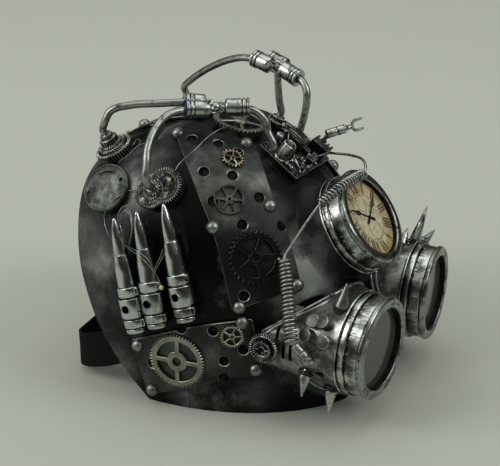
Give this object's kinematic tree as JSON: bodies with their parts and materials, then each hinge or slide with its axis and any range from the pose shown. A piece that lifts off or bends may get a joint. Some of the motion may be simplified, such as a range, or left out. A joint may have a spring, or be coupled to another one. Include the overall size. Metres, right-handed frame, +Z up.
{
  "type": "steampunk mask",
  "caption": "Open-backed costume head mask with goggle eye cups, a forehead clock, perforated plates, gears, dummy cartridges, hoses, springs and spikes.",
  "frame": {"origin": "under the middle of the whole mask, on the surface that its lower rim stands on", "axes": "+Z up, -Y the way that the face looks, -X the wearer's right, the side that the picture shows"},
  "size_m": [0.1867, 0.2083, 0.1939],
  "materials": {
    "gunmetal": "dark gunmetal paint with dry-brushed silver highlights",
    "plate": "dark gunmetal paint with worn silver edges",
    "cast_base": "moulded plastic in dark silver paint",
    "pewter": "dull pewter",
    "chrome": "aged silver plating with dark wash in the recesses",
    "nickel": "satin nickel",
    "dark_gear": "blackened metal",
    "brass": "tarnished brass",
    "smoke_glass": "dark smoky lens",
    "dial": "aged parchment print",
    "board": "dark circuit board",
    "black_plastic": "black plastic",
    "elastic": "black ribbed elastic"
  },
  "bodies": {
    "root": {"mask_shell": "gunmetal", "side_band_right": "plate", "side_band_left": "plate", "crown_plate": "plate", "goggle_base_right": "cast_base", "goggle_base_left": "cast_base", "cheek_plate_right": "plate", "cheek_plate_left": "plate", "goggle_cup_right": "chrome", "goggle_bezel_right": "chrome", "goggle_lens_right": "smoke_glass", "goggle_cup_left": "chrome", "goggle_bezel_left": "chrome", "goggle_lens_left": "smoke_glass", "clock_cup": "chrome", "clock_bezel": "chrome", "clock_dial": "dial", "spike_right_top": "chrome", "spike_right_low_rear": "chrome", "spike_right_low_front": "chrome", "spike_left_tall": "chrome", "spike_left_side": "chrome", "spike_left_small": "chrome", "cheek_gear_large": "nickel", "cheek_gear_small": "nickel", "band_gear_small": "brass", "band_gear_mid": "dark_gear", "band_gear_large": "dark_gear", "crown_gear": "nickel", "cheek_pinion": "dark_gear", "gear_stack_side": "dark_gear", "gear_stack_rear_right": "dark_gear", "gear_stack_rear_left": "dark_gear", "gear_stack_front": "dark_gear", "round_cap": "pewter", "cartridge_1": "chrome", "cartridge_2": "chrome", "cartridge_3": "chrome", "coupling_low": "chrome", "coupling_high": "chrome", "circuit_board": "board", "capacitor": "chrome", "relay_block": "black_plastic", "terminal_block": "black_plastic", "transistor_block": "black_plastic", "fork_terminal": "chrome", "hose_a": "chrome", "hose_b": "chrome", "hose_c": "chrome", "hose_d": "chrome", "hose_e": "chrome", "hose_f": "chrome", "clock_spring": "chrome", "cheek_spring": "chrome", "clock_wire": "chrome", "cheek_wire": "chrome", "spring_crimp": "chrome", "elastic_strap": "elastic"}
  },
  "joints": []
}
